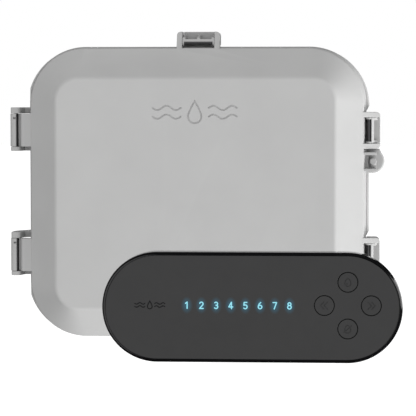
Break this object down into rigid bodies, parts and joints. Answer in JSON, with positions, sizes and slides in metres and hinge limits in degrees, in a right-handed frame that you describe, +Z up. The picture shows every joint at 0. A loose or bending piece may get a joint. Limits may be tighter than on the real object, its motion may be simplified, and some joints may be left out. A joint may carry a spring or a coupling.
{
  "type": "irrigation controller",
  "caption": "Wall-hung weatherproof irrigation box with a bevelled hinged door, draw latches and a pill-shaped zone controller on the door.",
  "frame": {"origin": "centre of the flat back face that lies against the wall", "axes": "+Y into the wall, so the door faces -Y; +X to the right seen from the front; +Z up"},
  "size_m": [0.3112, 0.1333, 0.257],
  "materials": {
    "abs_grey": "fine matte texture",
    "rubber_black": "matt",
    "screw_steel": "satin",
    "pin_black": "blackened",
    "zinc_plate": "zinc plated",
    "core_steel": "varnished",
    "coil_tape": "taped",
    "terminal_black": "moulded",
    "terminal_green": "moulded",
    "plug_grey": "moulded",
    "housing_black": "fine matte texture",
    "bezel_black": "polished",
    "face_charcoal": "soft matte",
    "board_green": "solder mask",
    "light_pipe": "frosted clear",
    "radio_can": "tinned",
    "capacitor_sleeve": "sleeved",
    "magnet_nickel": "nickel plated"
  },
  "bodies": {
    "enclosure": {"back_box": "abs_grey", "door_gasket": "rubber_black", "mounting_plate": "zinc_plate", "plate_screw_1": "screw_steel", "plate_screw_2": "screw_steel", "plate_screw_3": "screw_steel", "plate_screw_4": "screw_steel", "transformer_core": "core_steel", "transformer_coil": "coil_tape", "terminal_strip": "terminal_black", "conduit_plug": "plug_grey", "conduit_nut": "zinc_plate", "cable_grommet": "rubber_black", "hinge_pin_upper": "pin_black", "hinge_pin_lower": "pin_black"},
    "door": {"door_shell": "abs_grey", "latch_pin_upper": "pin_black", "latch_pin_lower": "pin_black", "latch_pin_top": "pin_black", "wire_grommet": "rubber_black", "mount_screw_1": "screw_steel", "mount_screw_2": "screw_steel", "mount_screw_3": "screw_steel", "mount_screw_4": "screw_steel", "controller_housing": "housing_black", "main_board": "board_green", "board_screw_1": "screw_steel", "board_screw_2": "screw_steel", "board_screw_3": "screw_steel", "board_screw_4": "screw_steel", "light_guide": "light_pipe", "zone_terminals": "terminal_green", "radio_module": "radio_can", "capacitor": "capacitor_sleeve", "tact_switch_top": "terminal_black", "tact_switch_left": "terminal_black", "tact_switch_right": "terminal_black", "tact_switch_bottom": "terminal_black", "strike_disc_1": "screw_steel", "strike_disc_2": "screw_steel", "strike_disc_3": "screw_steel", "strike_disc_4": "screw_steel"},
    "latch_upper": {"latch_lever_upper": "abs_grey"},
    "latch_lower": {"latch_lever_lower": "abs_grey"},
    "latch_top": {"latch_lever_top": "abs_grey"},
    "lock": {"lock_screw": "abs_grey"},
    "front_cover": {"front_bezel": "bezel_black", "face_panel": "face_charcoal", "magnet_1": "magnet_nickel", "magnet_2": "magnet_nickel", "magnet_3": "magnet_nickel", "magnet_4": "magnet_nickel"},
    "key_top": {"button_top": "face_charcoal"},
    "key_left": {"button_left": "face_charcoal"},
    "key_right": {"button_right": "face_charcoal"},
    "key_bottom": {"button_bottom": "face_charcoal"}
  },
  "joints": [
    {"name": "door_hinge", "type": "hinge", "parent": "enclosure", "child": "door", "pos_m": [-0.1449, -0.078, 0], "axis": [0, 0, -1], "range_deg": [0, 110]},
    {"name": "latch_upper_turn", "type": "hinge", "parent": "door", "child": "latch_upper", "pos_m": [0.1364, -0.08, 0.0496], "axis": [0, 0, -1], "range_deg": [0, 95]},
    {"name": "latch_lower_turn", "type": "hinge", "parent": "door", "child": "latch_lower", "pos_m": [0.1364, -0.08, -0.0499], "axis": [0, 0, -1], "range_deg": [0, 95]},
    {"name": "latch_top_turn", "type": "hinge", "parent": "door", "child": "latch_top", "pos_m": [0.0013, -0.08, 0.1189], "axis": [1, 0, 0], "range_deg": [0, 95]},
    {"name": "lock_screw_out", "type": "slide", "parent": "door", "child": "lock", "axis": [0, -1, 0], "range_m": [0, 0.008]},
    {"name": "cover_pull", "type": "slide", "parent": "door", "child": "front_cover", "axis": [0, -1, 0], "range_m": [0, 0.03]},
    {"name": "key_top_press", "type": "slide", "parent": "front_cover", "child": "key_top", "axis": [0, 1, 0], "range_m": [0, 0.0008], "stiffness_N_per_m": 400},
    {"name": "key_left_press", "type": "slide", "parent": "front_cover", "child": "key_left", "axis": [0, 1, 0], "range_m": [0, 0.0008], "stiffness_N_per_m": 400},
    {"name": "key_right_press", "type": "slide", "parent": "front_cover", "child": "key_right", "axis": [0, 1, 0], "range_m": [0, 0.0008], "stiffness_N_per_m": 400},
    {"name": "key_bottom_press", "type": "slide", "parent": "front_cover", "child": "key_bottom", "axis": [0, 1, 0], "range_m": [0, 0.0008], "stiffness_N_per_m": 400}
  ]
}
